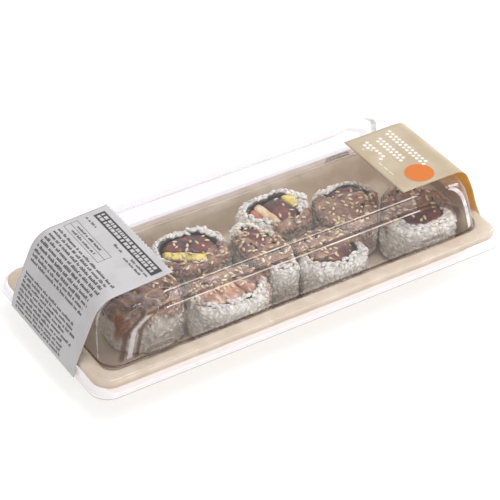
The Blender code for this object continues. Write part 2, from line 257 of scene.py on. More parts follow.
world = bpy.data.worlds.new("pale_room")
bpy.context.scene.world = world
world.use_nodes = True
room = world.node_tree.nodes["Background"].inputs
room["Color"].default_value = (1.0, 1.0, 1.0, 1.0)
room["Strength"].default_value = ROOM_LIGHT
bpy.context.scene.view_settings.view_transform = "Standard"

floor_mesh = bpy.data.meshes.new("floor")
floor_corners = ((-1, -1), (1, -1), (1, 1), (-1, 1))
floor_mesh.from_pydata(
    [(x * FLOOR_HALF, y * FLOOR_HALF, FLOOR_HEIGHT) for x, y in floor_corners], [], [(0, 1, 2, 3)]
)
floor = bpy.data.objects.new("floor", floor_mesh)
bpy.context.scene.collection.objects.link(floor)
ground = Recipe("pale_ground")
cloudy = ground.blend(ground.noise(40.0, 2.0), paint(168, 168, 168), paint(172, 172, 172))
floor_mesh.materials.append(
    ground.finish(cloudy, 0.8, Emission_Color=(1.0, 1.0, 1.0, 1.0), Emission_Strength=FLOOR_GLOW)
)
print("floor and", len(bpy.data.lights), "softboxes")

# %% [markdown]
# Most pieces here are either a stack of rings or a copy of a solid made softer. These helpers turn
# points in millimetres into a smooth mesh that rides on the pack, names its finish and, where it
# stands for a solid, hides that solid.

# %% Make a piece
def make_piece(name, points, faces, material, stands_for=(), recalculate=True):
    """A new mesh from points in millimetres; recalculate turns its faces outwards."""
    mesh = bpy.data.meshes.new(name)
    mesh.from_pydata((np.asarray(points, float) * MM).tolist(), [], faces)
    if recalculate:
        sides = bmesh.new()
        sides.from_mesh(mesh)
        bmesh.ops.recalc_face_normals(sides, faces=sides.faces[:])
        sides.to_mesh(mesh)
        sides.free()
    return dress(name, mesh, material, stands_for)


def dress(name, mesh, material, stands_for=()):
    """Makes a mesh a piece of the pack."""
    mesh.materials.clear()
    mesh.materials.append(material)
    mesh.shade_smooth()
    item = bpy.data.objects.new(name, mesh)
    bpy.context.scene.collection.objects.link(item)
    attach(item, "root")
    if stands_for:
        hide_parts(*stands_for)
    return item


def settle(item):
    """Turns the modifiers of a piece into its mesh."""
    graph = bpy.context.evaluated_depsgraph_get()
    mesh = bpy.data.meshes.new_from_object(item.evaluated_get(graph))
    item.modifiers.clear()
    item.data = mesh
    mesh.shade_smooth()
    return item


def write(item, name, values):
    """Writes one value on each point of a piece, for its finish to read."""
    item.data.attributes.new(name, "FLOAT", "POINT").data.foreach_set("value", values)


def smooth(value):
    """A soft step from 0 to 1."""
    value = np.clip(value, 0.0, 1.0)
    return value * value * (3.0 - 2.0 * value)


print("soft step at a quarter", float(smooth(0.25)))

# %% [markdown]
# Tray and lid are both rounded rectangles that change with height. A ring is drawn as its back half
# and the mirrored front half, so a flat end can be closed by strips across. More points stand near
# the ends of the long sides, where the lid changes shape.

# %% Rings
CORNER_STEPS = 12
SIDE_SHARES = [*np.linspace(1.0, 0.62, 26)[1:], 0.5, 0.35, 0.2]


def ring(half_length, half_width, corner, height):
    """A rounded rectangle, walked from the right end round the back to the front."""
    straight = half_length - corner
    right = [(half_length, 0.0), (half_length, 0.5 * (half_width - corner))]
    for step in range(CORNER_STEPS + 1):
        angle = 0.5 * math.pi * step / CORNER_STEPS
        right.append((straight + corner * math.cos(angle),
                      half_width - corner + corner * math.sin(angle)))
    right += [(share * straight, half_width) for share in SIDE_SHARES]
    back = right + [(0.0, half_width)] + [(-x, y) for x, y in reversed(right)]
    front = [(x, -y) for x, y in reversed(back[1:-1])]
    return [(x, y, height) for x, y in back + front]


def bands(count, size):
    """Faces between neighbouring rings of size points each."""
    faces = []
    for level in range(count - 1):
        for index in range(size):
            after = (index + 1) % size
            low = level * size
            faces.append((low + index, low + after, low + size + after, low + size + index))
    return faces


def strips(first, size):
    """Faces across one ring, from its back half to its front half."""
    half = size // 2
    faces = []
    for index in range(half):
        face = [index, index + 1, (size - index - 1) % size, (size - index) % size]
        faces.append(tuple(dict.fromkeys(first + corner for corner in face)))
    return faces


def round_off(profile, times=1):
    """Cuts every corner of an open line of stations, keeping its ends."""
    for _ in range(times):
        cut = [profile[0]]
        for before, after in zip(profile, profile[1:]):
            cut.append(tuple(0.75 * a + 0.25 * b for a, b in zip(before, after)))
            cut.append(tuple(0.25 * a + 0.75 * b for a, b in zip(before, after)))
        cut.append(profile[-1])
        profile = cut
    return profile


print("points in a ring", len(ring(100.0, 40.0, 10.0, 0.0)))

# %% [markdown]
# The tray is moulded plant fibre: matt, warm beige, with fine mottling, short fibres pressed into
# the skin and a slightly uneven rim. Colour comes from two noises of different size, and the fibres
# from a noise stretched along the tray. The same noises give the relief.

# %% Fibre finish
def fibre_finish():
    fibre = Recipe("moulded_fibre")
    mottle = fibre.noise(9.0, 4.0)
    grain = fibre.noise(0.7, 3.0)
    strand = fibre.noise(0.35, 2.0, stretch=(0.12, 1.0, 1.0))
    cross = fibre.noise(0.35, 2.0, stretch=(1.0, 0.15, 0.6), shift=4.0)
    colour = fibre.blend(mottle.rise(0.35, 0.68), paint(205, 189, 166), paint(218, 204, 184))
    colour = fibre.blend(grain.rise(0.52, 0.72) * 0.45, colour, paint(190, 171, 145))
    colour = fibre.blend(strand.rise(0.62, 0.74) * 0.45, colour, paint(230, 219, 201))
    colour = fibre.blend(cross.rise(0.66, 0.76) * 0.5, colour, paint(184, 160, 130))
    height = grain * 0.5 + strand * 0.35 + mottle * 0.8
    return fibre.finish(colour, 0.86, Normal=fibre.bump(height, 0.16), Specular_IOR_Level=0.3)


fibre_skin = fibre_finish()
print("fibre nodes", len(fibre_skin.node_tree.nodes))

# %% [markdown]
# The tray is pressed in one go, so its wall is one line carried round a rounded rectangle: from the
# foot up the outside, over the rolled rim and down the inside to the floor. Each station of that
# line, an inset from the rim's outer edge and a height, gives a ring. A pressed rim is never quite
# level, so a small wave lowers it here and there.

# %% Tray
tray_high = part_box("tray")[1]
RIM_LENGTH = tray_high.x / MM
RIM_WIDTH = tray_high.y / MM
RIM_TOP = tray_high.z / MM
RIM_CORNER = 8.5
RIM_BAND = 7.4
RIM_SAG = 0.18
CORNER_SHRINK = 0.35
TRAY_PROFILE = (
    (13.7, 0.0), (12.6, 0.1), (11.7, 0.5), (9.9, 3.0), (7.2, RIM_TOP - 2.0), (5.8, RIM_TOP - 1.25),
    (1.9, RIM_TOP - 1.25), (1.2, RIM_TOP - 3.2), (0.9, RIM_TOP - 3.45), (0.1, RIM_TOP - 3.4),
    (0.0, RIM_TOP - 2.9), (0.1, RIM_TOP - 1.5), (0.7, RIM_TOP - 0.5), (1.7, RIM_TOP - 0.12),
    (3.0, RIM_TOP), (5.6, RIM_TOP), (6.7, RIM_TOP - 0.1), (RIM_BAND, RIM_TOP - 0.8),
    (7.9, RIM_TOP - 2.0), (8.4, RIM_TOP - 3.4), (9.3, 10.0), (10.6, 4.4), (11.2, 2.6),
    (12.2, 1.7), (13.8, 1.4), (16.0, 1.4), (18.0, 1.4),
)


def make_tray():
    stations = round_off(list(TRAY_PROFILE))
    rings = [ring(RIM_LENGTH - inset, RIM_WIDTH - inset, RIM_CORNER - CORNER_SHRINK * inset, z)
             for inset, z in stations]
    size = len(rings[0])
    points = np.array([point for level in rings for point in level])
    x, y, z = points.T
    wave = 0.10 * np.sin(x / 9.0) + 0.08 * np.sin(x / 3.7 + y / 5.0)
    points[:, 2] -= smooth((z - 15.0) / 3.0) * (RIM_SAG + wave)
    faces = bands(len(rings), size) + strips(0, size) + strips((len(rings) - 1) * size, size)
    return make_piece("fibre_tray", points, faces, fibre_skin, ("tray",))


tray = make_tray()
print("tray faces", len(tray.data.polygons))

# %% [markdown]
# Each roll is cut from a long one, so its face shows a ring of rice, a dark line of seaweed and the
# fillings inside. The solids already hold these forms. A copy is welded, remeshed finely, softened
# and pushed in and out by cloudy noise, which turns flat facets into moist, lumpy food.

# %% Soften a solid
def soften(node, name, material, voxel, lump_size, lump_height, shrink=0.0):
    """A soft, lumpy copy of a solid; shrink above 0 draws it in, below 0 swells it."""
    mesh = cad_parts[node].data.copy()
    weld = bmesh.new()
    weld.from_mesh(mesh)
    bmesh.ops.remove_doubles(weld, verts=weld.verts[:], dist=0.00001)
    weld.to_mesh(mesh)
    weld.free()
    item = dress(name, mesh, material, (node,))
    remesh = item.modifiers.new("remesh", "REMESH")
    remesh.mode = "VOXEL"
    remesh.voxel_size = voxel * MM
    soft = item.modifiers.new("soft", "SMOOTH")
    soft.iterations = 5
    cloud = bpy.data.textures.new(f"{name}_lumps", "CLOUDS")
    cloud.noise_scale = lump_size * MM
    cloud.noise_depth = 2
    push = item.modifiers.new("lumps", "DISPLACE")
    push.texture = cloud
    push.texture_coords = "GLOBAL"
    push.strength = lump_height * MM
    push.mid_level = 0.5 + shrink
    return settle(item)


print("solids to soften", sum(name.startswith("rice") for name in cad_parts))

# %% [markdown]
# Brown sauce has run over the rolls along the middle of the pack. Its back and front edges are lines
# read off the rolls, made ragged by ripples. In a few places it has run down a wall, each given by
# its place, radius and lowest point; the first run is thin enough to glow amber. One function gives
# the sauce's share at any place, so that the rice and the sauce film agree.

# %% Where the sauce lies
SAUCE_BACK = (
    (-92, 12), (-46, 12), (-38, 7), (-30, 2), (-26, 1), (-22, 9), (-9, 12), (-4, 9), (1, -2), (10, 0),
    (14, 9), (30, 9), (36, 13), (42, 17), (54, 15), (60, 9), (70, 7), (78, 2), (95, -7),
)
SAUCE_FRONT = (
    (-92, -27), (-60, -27), (-46, -24), (-38, -19), (-22, -20), (-18, -27), (-8, -26), (-3, -24),
    (6, -25), (13, -20), (18, -27), (38, -27), (46, -27), (56, -26), (64, -23), (95, -25),
)
RUNS = (
    (-80.5, -16.0, 6.0, 9.0), (-74.5, -21.0, 5.0, 14.0), (-9.0, -33.0, 6.0, 9.0),
    (51.0, -17.0, 9.0, 4.0), (-45.0, -26.0, 4.0, 12.0),
)
RUN_STRENGTH = 0.85


def ripple(x, y):
    """An uneven wave between about -1 and 1."""
    return (np.sin(x / 3.1 + 1.3 * np.sin(y / 4.3)) + np.sin(y / 2.7 + 1.1 * np.sin(x / 5.7))
            + 0.6 * np.sin((x + y) / 1.7)) / 2.6


def sauce_share(x, y):
    """1 under the sauce, 0 beside it, with a ragged step between."""
    ragged = 2.4 * ripple(x, y)
    back = np.interp(x, *np.transpose(SAUCE_BACK)) - y + ragged
    front = y - np.interp(x, *np.transpose(SAUCE_FRONT)) + ragged
    return smooth(back / 3.5) * smooth(front / 3.5)


def running(run, x, y, z):
    """Share of the sauce that has run down a wall, round one place and down to its bottom."""
    run_x, run_y, radius, bottom = run
    near = smooth((radius - np.hypot(x - run_x, y - run_y) + ripple(x, z)) / 2.5)
    return RUN_STRENGTH * near * smooth((z - bottom + 2.0 * ripple(z, x)) / 4.0)


def stain(item):
    """Writes on a piece how much sauce each of its points carries."""
    x, y, z = (np.array([vertex.co[:] for vertex in item.data.vertices]) / MM).T
    share = sauce_share(x, y) * smooth((z + ripple(x, y) - 17.0) / 3.5)
    runs = [running(run, x, y, z) for run in RUNS]
    share = np.maximum(share, np.max(runs, axis=0))
    write(item, "sauce", share)
    write(item, "amber", runs[0])


print("sauce at the middle", round(float(sauce_share(0.0, -10.0)), 2))

# %% [markdown]
# Cooked rice is translucent off-white with a soft sheen, so light goes a little way into it. Where
# the written share says so, sauce stains it brown and makes it shine.

# %% Rice finish
def rice_finish():
    rice = Recipe("cooked_rice")
    tint = rice.noise(3.2, 3.0)
    grain = rice.noise(1.1, 2.0)
    colour = rice.blend(tint.rise(0.35, 0.7), paint(243, 238, 226), paint(232, 224, 209))
    colour = rice.blend(grain.rise(0.55, 0.75) * 0.25, colour, paint(216, 206, 190))
    mask = rice.written("sauce")
    brown = rice.blend(grain.rise(0.4, 0.65), paint(128, 96, 78), paint(178, 144, 114))
    colour = rice.blend(mask * 0.88, colour, brown)
    colour = rice.blend(rice.written("amber") * 1.1, colour, paint(152, 84, 14))
    return rice.finish(
        colour, 0.48 - mask * 0.18, Normal=rice.bump(grain + tint, 0.08),
        Coat_Weight=mask * 0.4, Coat_Roughness=0.15,
        Subsurface_Weight=0.6, Subsurface_Radius=(1.0, 1.0, 1.0), Subsurface_Scale=0.0025,
    )


rice_skin = rice_finish()
print("rice nodes", len(rice_skin.node_tree.nodes))

# %% [markdown]
# Under its grains every roll has a core, which closes the gaps between them. It is the solid rice
# ring, softened and drawn in a little, so that the grains laid on it end where the solid does.

# %% Rice cores
ROLLS = range(1, 9)
rice_cores = [soften(f"rice_{n}", f"rice_ring_{n}", rice_skin, 0.75, 3.0, 1.1, 0.25)
              for n in ROLLS]
for core in rice_cores:
    stain(core)
print("rice core faces", sum(len(core.data.polygons) for core in rice_cores))

# %% [markdown]
# The seaweed sheet is less than a millimetre thick, so remeshing would tear it. Its outline is read
# from the solid instead, redrawn with more points on a smooth closed curve, and stood up as a thin
# wall with a slightly wavy top edge.

# %% Seaweed
def seaweed_finish():
    weed = Recipe("dried_seaweed")
    fleck = weed.noise(1.2, 4.0)
    colour = weed.blend(fleck.rise(0.35, 0.7), paint(38, 42, 36), paint(74, 80, 66))
    return weed.finish(colour, 0.42, Normal=weed.bump(fleck, 0.12), Coat_Weight=0.25)


def outlines(node):
    """Outer and inner outline of a standing sheet, from the lowest points of its solid."""
    corners = [vertex.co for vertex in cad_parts[node].data.vertices]
    points = {tuple(round(value / MM, 3) for value in corner) for corner in corners}
    lowest = min(z for _, _, z in points)
    low = np.array([(x, y) for x, y, z in points if z < lowest + 0.05])
    middle = low.mean(axis=0)
    turn = np.arctan2(low[:, 1] - middle[1], low[:, 0] - middle[0])
    reach = np.hypot(*(low - middle).T)
    order = np.argsort(turn)
    turn, reach = turn[order], reach[order]
    near = np.abs((turn[:, None] - turn[None, :] + math.pi) % math.tau - math.pi) < 0.12
    local = np.array([reach[row].mean() for row in near])
    outer = reach > local
    return middle, (turn[outer], reach[outer]), (turn[~outer], reach[~outer]), lowest


SHEET_RINGS = (
    (0, 0.0), (0, 0.6), (0, 0.97), (0, 1.0), (1, 1.0), (1, 0.97), (1, 0.6), (1, 0.0),
)


def make_seaweed(number):
    """Stands one sheet up: its outer outline goes up and its inner one comes down."""
    node = f"seaweed_{number}"
    middle, outer, inner, bottom = outlines(node)
    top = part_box(node)[1].z / MM - 0.2
    angles = np.linspace(-math.pi, math.pi, 121)[:-1]
    radii = [np.interp(angles, turn, reach, period=math.tau) for turn, reach in (outer, inner)]
    for _ in range(2):
        radii = [(np.roll(line, 1) + line + np.roll(line, -1)) / 3.0 for line in radii]
    wave = 0.30 * np.sin(7.0 * angles + number) + 0.22 * np.sin(17.0 * angles + 2.0 * number)
    rings = []
    for line, height in SHEET_RINGS:
        spread = radii[line] + (0.12 * np.sin(11.0 * angles + number) if height > 0.9 else 0.0)
        z = bottom + (top - bottom) * height + wave * (height > 0.9)
        rings.append(np.stack([middle[0] + spread * np.cos(angles),
                               middle[1] + spread * np.sin(angles),
                               np.broadcast_to(z, angles.shape)], axis=1))
    size = len(angles)
    faces = bands(len(rings), size)
    last = (len(rings) - 1) * size
    faces += [(last + i, last + (i + 1) % size, (i + 1) % size, i) for i in range(size)]
    return make_piece(
        f"seaweed_sheet_{number}", np.concatenate(rings), faces, weed_skin, (node,)
    )


weed_skin = seaweed_finish()
sheets = [make_seaweed(number) for number in ROLLS]
print("seaweed sheets", len(sheets))

# %% [markdown]
# Rice grains and sesame seeds are small spindles that lie on the food by the thousand. A spindle is
# made once, its copies are placed by a centre and three axes, and all copies are joined into one
# mesh. This is lighter than one object each and needs nothing at render time.

# %% Scatter small things
def spindle(length, breadth, thickness, rings, sides, blunt):
    """A closed spindle along X; blunt moves its fat part towards +X."""
    points = [(-0.5 * length, 0.0, 0.0)]
    for step in range(1, rings + 1):
        t = step / (rings + 1)
        girth = math.sin(math.pi * t ** blunt) ** 0.75
        for side in range(sides):
            angle = math.tau * side / sides
            points.append(((t - 0.5) * length, 0.5 * breadth * girth * math.cos(angle),
                           0.5 * thickness * girth * math.sin(angle)))
    points.append((0.5 * length, 0.0, 0.0))
    last = len(points) - 1
    faces = [(0, 1 + (s + 1) % sides, 1 + s) for s in range(sides)]
    for step in range(rings - 1):
        low = 1 + step * sides
        for s in range(sides):
            after = (s + 1) % sides
            faces.append((low + s, low + after, low + sides + after, low + sides + s))
    low = 1 + (rings - 1) * sides
    faces += [(low + s, low + (s + 1) % sides, last) for s in range(sides)]
    return np.array(points), faces


def scatter(name, unit, frames, material):
    """Joins a copy of the unit at every frame: (centre, three axes as rows)."""
    unit_points, unit_faces = unit
    points = np.concatenate([unit_points @ np.array(axes) + np.array(centre) for centre, axes in frames])
    count = len(unit_points)
    faces = [tuple(corner + index * count for corner in face)
             for index in range(len(frames)) for face in unit_faces]
    return make_piece(name, points, faces, material, recalculate=False)


def lying(normal, turn, tilt):
    """Three axes of a thing that lies on a surface: along, across and up."""
    up = Vector(normal).normalized()
    start = Vector((1.0, 0.0, 0.0)) if abs(up.x) < 0.8 else Vector((0.0, 1.0, 0.0))
    across = up.cross(start).normalized()
    along = across.cross(up)
    direction = (along * math.cos(turn) + across * math.sin(turn)) * math.cos(tilt) + up * math.sin(tilt)
    side = up.cross(direction).normalized()
    return direction, side, direction.cross(side)


print("points of a trial spindle", len(spindle(3.0, 2.0, 1.0, 3, 6, 1.0)[0]))

# %% [markdown]
# Single grains make rice look like rice. Points are drawn over the outer walls and tops of the
# rings, thinned so that no two are too close, and a grain is pressed in at each, turned at random.
# A knife smears rice over the seaweed's edge, so a row of grains follows each sheet. It lies over
# the edge, or beside it where the dark line is seen; those stretches are given in degrees.

# %% Rice grains
GRAIN = {"length": 4.9, "breadth": 2.3, "thickness": 1.9}
GRAIN_SPACING = 1.45
GRAINS = 4600
GRAIN_TRIES = 6000
LOWEST_GRAIN = 4.0
SEAM_STEP = 1.25
SEAWEED_SEEN = {
    3: ((125, 215), (-5, 15)), 5: ((60, 175),), 6: ((190, 235),), 7: ((5, 95),), 8: ((190, 210),),
}


class Spread:
    """Keeps things apart: a point is taken only if no taken point is nearer than the spacing."""

    def __init__(self, spacing):
        self.spacing = spacing
        self.cells = {}
        self.count = 0

    def takes(self, point):
        cell = [int(value // self.spacing) for value in point]
        around = [(cell[0] + i, cell[1] + j, cell[2] + k)
                  for i in (-1, 0, 1) for j in (-1, 0, 1) for k in (-1, 0, 1)]
        for key in around:
            if any(math.dist(point, other) < self.spacing for other in self.cells.get(key, ())):
                return False
        self.cells.setdefault(tuple(cell), []).append(point)
        self.count += 1
        return True


def surface_samples(item, count, draw):
    """Random places on a mesh, even by area: points and normals, in millimetres."""
    mesh = item.data
    mesh.calc_loop_triangles()
    corners = np.array([triangle.vertices[:] for triangle in mesh.loop_triangles])
    places = np.array([vertex.co[:] for vertex in mesh.vertices]) / MM
    a, b, c = places[corners[:, 0]], places[corners[:, 1]], places[corners[:, 2]]
    normals = np.cross(b - a, c - a)
    areas = np.linalg.norm(normals, axis=1)
    chosen = draw.choice(len(corners), count, p=areas / areas.sum())
    u, v = draw.random(count), draw.random(count)
    over = u + v > 1.0
    u[over], v[over] = 1.0 - u[over], 1.0 - v[over]
    points = a[chosen] + u[:, None] * (b - a)[chosen] + v[:, None] * (c - a)[chosen]
    return points, normals[chosen] / areas[chosen][:, None]


def rice_frames():
    """Grains over the outer walls and tops of the rings."""
    draw = np.random.default_rng(11)
    frames = []
    for core in rice_cores:
        middle = 0.5 * (np.array(core.bound_box[0]) + np.array(core.bound_box[6])) / MM
        points, normals = surface_samples(core, GRAIN_TRIES, draw)
        outward = ((points - middle)[:, :2] * normals[:, :2]).sum(axis=1) > 0.0
        shown = (outward | (normals[:, 2] > 0.5)) & (points[:, 2] > LOWEST_GRAIN)
        placed = Spread(GRAIN_SPACING)
        for point, normal in zip(points[shown], normals[shown]):
            if placed.count >= GRAINS // len(ROLLS):
                break
            if placed.takes(point):
                axes = lying(normal, draw.uniform(0.0, math.pi), draw.uniform(-0.35, 0.35))
                scale = draw.uniform(0.85, 1.1)
                place = point + normal * draw.uniform(-0.75, -0.1)
                frames.append((place, [axis * scale for axis in axes]))
    return frames


def seam_frames():
    """Grains pressed over the seaweed's edge, or against it where the edge is seen."""
    draw = random.Random(41)
    frames = []
    for number in ROLLS:
        middle, outer, inner, _ = outlines(f"seaweed_{number}")
        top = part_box(f"seaweed_{number}")[1].z / MM
        seen = SEAWEED_SEEN.get(number, ())
        angle = 0.0
        while angle < 360.0:
            turn = math.radians(angle)
            radius = 0.5 * sum(float(np.interp(turn, *line, period=math.tau)) for line in (outer, inner))
            angle += math.degrees(SEAM_STEP / radius)
            if any((angle - start) % 360.0 < end - start for start, end in seen):
                radius += draw.uniform(1.3, 2.0)
            else:
                radius += draw.uniform(-0.6, 1.6)
            place = (middle[0] + radius * math.cos(turn), middle[1] + radius * math.sin(turn),
                     top + draw.uniform(-0.5, 0.2))
            askew = turn + 1.57 + draw.uniform(-0.9, 0.9)
            axes = lying((0.0, 0.0, 1.0), askew, draw.uniform(-0.25, 0.25))
            frames.append((place, [axis * draw.uniform(0.8, 1.05) for axis in axes]))
    return frames


grain_unit = spindle(**GRAIN, rings=3, sides=6, blunt=1.0)
grain_frames = rice_frames() + seam_frames()
rice_grains = scatter("rice_grains", grain_unit, grain_frames, rice_skin)
stain(rice_grains)
print("grains", len(grain_frames), "faces", len(rice_grains.data.polygons))

# %% [markdown]
# The fillings are glazed chicken, strips of avocado and one orange vegetable. Chicken under dark
# glaze runs from plum brown to orange brown, with a pale torn edge on some pieces. Avocado goes from
# yellow in the middle to green at its skin side. All are wet, so they get a clear coat.

# %% Filling finishes
def chicken_finish(name, dark, light, pale, pale_share):
    meat = Recipe(name)
    patch = meat.noise(7.0, 3.0)
    strand = meat.noise(1.6, 3.0, stretch=(1.0, 0.35, 1.0))
    colour = meat.blend(patch.rise(0.42, 0.62), dark, light)
    colour = meat.blend(strand.rise(0.60 - pale_share, 0.85 - pale_share) * 0.7, colour, pale)
    return meat.finish(
        colour, 0.34, Normal=meat.bump(strand, 0.2), Coat_Weight=0.3, Coat_Roughness=0.12,
        Subsurface_Weight=0.1, Subsurface_Radius=(1.0, 0.4, 0.2), Subsurface_Scale=0.001,
    )


def flesh_finish(name, middle, edge):
    flesh = Recipe(name)
    patch = flesh.noise(6.0, 2.0)
    fine = flesh.noise(1.0, 3.0)
    colour = flesh.blend(patch.rise(0.46, 0.66), middle, edge)
    return flesh.finish(
        colour, 0.38, Normal=flesh.bump(fine, 0.18), Coat_Weight=0.3,
        Subsurface_Weight=0.2, Subsurface_Radius=(1.0, 0.8, 0.3), Subsurface_Scale=0.001,
    )


glazed = chicken_finish(
    "glazed_chicken", paint(72, 28, 24), paint(116, 56, 38), paint(150, 96, 66), 0.0
)
torn = chicken_finish(
    "torn_chicken", paint(170, 124, 102), paint(206, 156, 122), paint(240, 222, 198), 0.16
)
cream = chicken_finish(
    "cream_piece", paint(206, 172, 132), paint(226, 200, 160), paint(238, 222, 192), 0.12
)
avocado = flesh_finish("avocado_flesh", paint(248, 224, 118), paint(198, 184, 98))
carrot = flesh_finish("orange_strip", paint(196, 116, 76), paint(176, 94, 62))
print("finishes so far", len(bpy.data.materials))

# %% [markdown]
# Each filling is softened from its solid like the rice, but swollen a little, because in a pressed
# roll the fillings meet without gaps. Roll 2 shows torn meat without glaze, and roll 5 has one
# cream-coloured piece.

# %% Fillings
CREAM_PIECES = ("chicken_5b",)
TORN_ROLL = "2"


def filling_skin(node, kind, place):
    if node in CREAM_PIECES:
        return cream
    if kind == "chicken":
        return torn if place[0] == TORN_ROLL else glazed
    return avocado if kind == "avocado" else carrot


def make_filling(node):
    kind, place = node.split("_")
    skin = filling_skin(node, kind, place)
    return soften(node, f"{kind}_piece_{place}", skin, 0.75, 3.5, 1.2, -0.2)


KINDS = ("chicken", "avocado", "carrot")
fillings = [make_filling(node) for node in sorted(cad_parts) if node.split("_")[0] in KINDS]
print("fillings", len(fillings))

# %% [markdown]
# Thin brown sauce lies over the rolls along the middle and fills the dips between them. To drape it,
# rays are sent down on a grid to find the food's height. The heights are blurred to fill the dips,
# the film is lifted a little above them, and at its ragged edge it sinks under the surface.

# %% Sauce film
FILM_STEP = 0.9
FILM_LIFT = 0.45
FILM_SINK = 0.7
FILM_ALONG = (-88.0, 98.0)
FILM_ACROSS = (-32.0, 28.0)
SAUCE_LOWEST = 17.5
ABOVE_FOOD = 44.0


def food_tree(items):
    """A search tree over the faces of several pieces, in millimetres."""
    points = []
    faces = []
    for item in items:
        start = len(points)
        points.extend(vertex.co / MM for vertex in item.data.vertices)
        faces.extend([start + corner for corner in face.vertices] for face in item.data.polygons)
    return BVHTree.FromPolygons(points, faces)


def drop(tree, x, y):
    """Height of the food at one place."""
    hit = tree.ray_cast(Vector((x, y, ABOVE_FOOD)), Vector((0.0, 0.0, -1.0)))[0]
    return hit.z if hit is not None else 0.0


def blur(field, times):
    """Spreads every height of a grid over its neighbours."""
    for _ in range(times):
        field = (field + np.roll(field, 1, 0) + np.roll(field, -1, 0)
                 + np.roll(field, 1, 1) + np.roll(field, -1, 1)) / 5.0
    return field


def sauce_finish():
    """Brown sauce, darker where it stands deep."""
    sauce = Recipe("brown_sauce")
    patch = sauce.noise(5.0, 3.0)
    fine = sauce.noise(1.5, 2.0)
    colour = sauce.blend(patch.rise(0.38, 0.66), paint(118, 84, 70), paint(176, 138, 106))
    colour = sauce.blend(fine.rise(0.55, 0.72) * 0.5, colour, paint(194, 166, 134))
    colour = sauce.blend(sauce.written("deep").rise(0.9, 2.6) * 0.75, colour, paint(92, 66, 56))
    return sauce.finish(
        colour, 0.25, Normal=sauce.bump(fine, 0.15), Coat_Weight=0.6, Coat_Roughness=0.10,
        Alpha=0.86 + patch.rise(0.6, 0.4) * 0.12,
    )


def make_sauce(tree):
    """Drapes the film over the food; only its wet faces are kept."""
    xs = np.arange(*FILM_ALONG, FILM_STEP)
    ys = np.arange(*FILM_ACROSS, FILM_STEP)
    grid_x, grid_y = np.meshgrid(xs, ys, indexing="ij")
    tops = np.array([[drop(tree, x, y) for y in ys] for x in xs])
    filled = np.maximum(tops, blur(tops, 6))
    share = sauce_share(grid_x, grid_y) * smooth((blur(tops, 3) - SAUCE_LOWEST) / 3.0)
    film = tops + share * (filled + FILM_LIFT - tops) - (1.0 - share) * FILM_SINK
    points = np.stack([grid_x, grid_y, film], axis=2).reshape(-1, 3)
    columns = len(ys)
    faces = []
    for i in range(len(xs) - 1):
        for j in range(columns - 1):
            wet = share[i:i + 2, j:j + 2].max() > 0.05
            if wet and tops[i:i + 2, j:j + 2].min() > SAUCE_LOWEST - 4.0:
                low = i * columns + j
                faces.append((low, low + columns, low + columns + 1, low + 1))
    used = sorted({corner for face in faces for corner in face})
    place = {corner: index for index, corner in enumerate(used)}
    faces = [tuple(place[corner] for corner in face) for face in faces]
    item = make_piece("sauce_film", points[used], faces, sauce_finish(), recalculate=False)
    write(item, "deep", (film - tops).reshape(-1)[used])
    return item


tree = food_tree(rice_cores + fillings + sheets + [rice_grains])
sauce_film = make_sauce(tree)
print("sauce faces", len(sauce_film.data.polygons))

# %% [markdown]
# Toasted sesame lies thickest along the middle. The solids carry some seeds already, fused to the
# food. The same random draw is repeated here, and a seed is kept where the solid has the seed's own
# corner points, so these seeds lie where the solid's do. Many more are dropped between them, on
# level food only. The shown seed is a little slimmer than the solid's.

# %% Sesame
SEED = {"length": 3.3, "breadth": 1.8, "thickness": 1.2}
SEED_GIRTHS = ((-0.28, 0.62), (0.16, 1.0))
SHOWN_SEED = {"length": 3.1, "breadth": 1.45, "thickness": 1.0}
SEEDS_ABOVE = 15.0
PACKING = ("tray", "lid", "label", "sticker")
EXTRA_SEEDS = 280
EXTRA_SPACING = 1.75
SEED_TRIES = 6000
EXTRA_ABOVE = 18.5
STEEPEST = 1.2


def fused_seeds():
    """Centre and turn of every seed that the solids carry."""
    corners = [vertex.co / MM for name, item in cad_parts.items()
               if name.split("_")[0] not in PACKING
               for vertex in item.data.vertices if vertex.co.z > SEEDS_ABOVE * MM]
    known = KDTree(len(corners))
    for index, corner in enumerate(corners):
        known.insert(Vector((corner.x, corner.y, 0.0)), index)
    known.balance()
    draw = random.Random(7)
    found = []
    for _ in range(3000):
        x = draw.uniform(-92.0, 95.0)
        y = draw.gauss(-3.0, 15.0)
        turn = draw.uniform(0.0, math.pi)
        heights = []
        for along, girth in SEED_GIRTHS:
            for index in range(5):
                angle = math.tau * (index + 0.25) / 5
                side = 0.5 * SEED["breadth"] * girth * math.cos(angle)
                forward = along * SEED["length"]
                place = Vector((x + forward * math.cos(turn) - side * math.sin(turn),
                                y + forward * math.sin(turn) + side * math.cos(turn), 0.0))
                _, nearest, distance = known.find(place)
                if distance < 0.02:
                    half = 0.5 * SEED["thickness"] * girth
                    heights.append(corners[nearest].z - half * math.sin(angle))
        if len(heights) >= 4:
            found.append((Vector((x, y, sum(heights) / len(heights))), turn))
    return found


def sesame_finish():
    sesame = Recipe("toasted_sesame")
    each = sesame.node("ShaderNodeNewGeometry", {}, {}, "Random Per Island")
    fine = sesame.noise(0.8, 2.0)
    colour = sesame.blend(each, paint(234, 220, 186), paint(204, 176, 130))
    colour = sesame.blend(fine.rise(0.55, 0.75) * 0.4, colour, paint(176, 140, 96))
    return sesame.finish(colour, 0.40, Normal=sesame.bump(fine, 0.06), Coat_Weight=0.3)


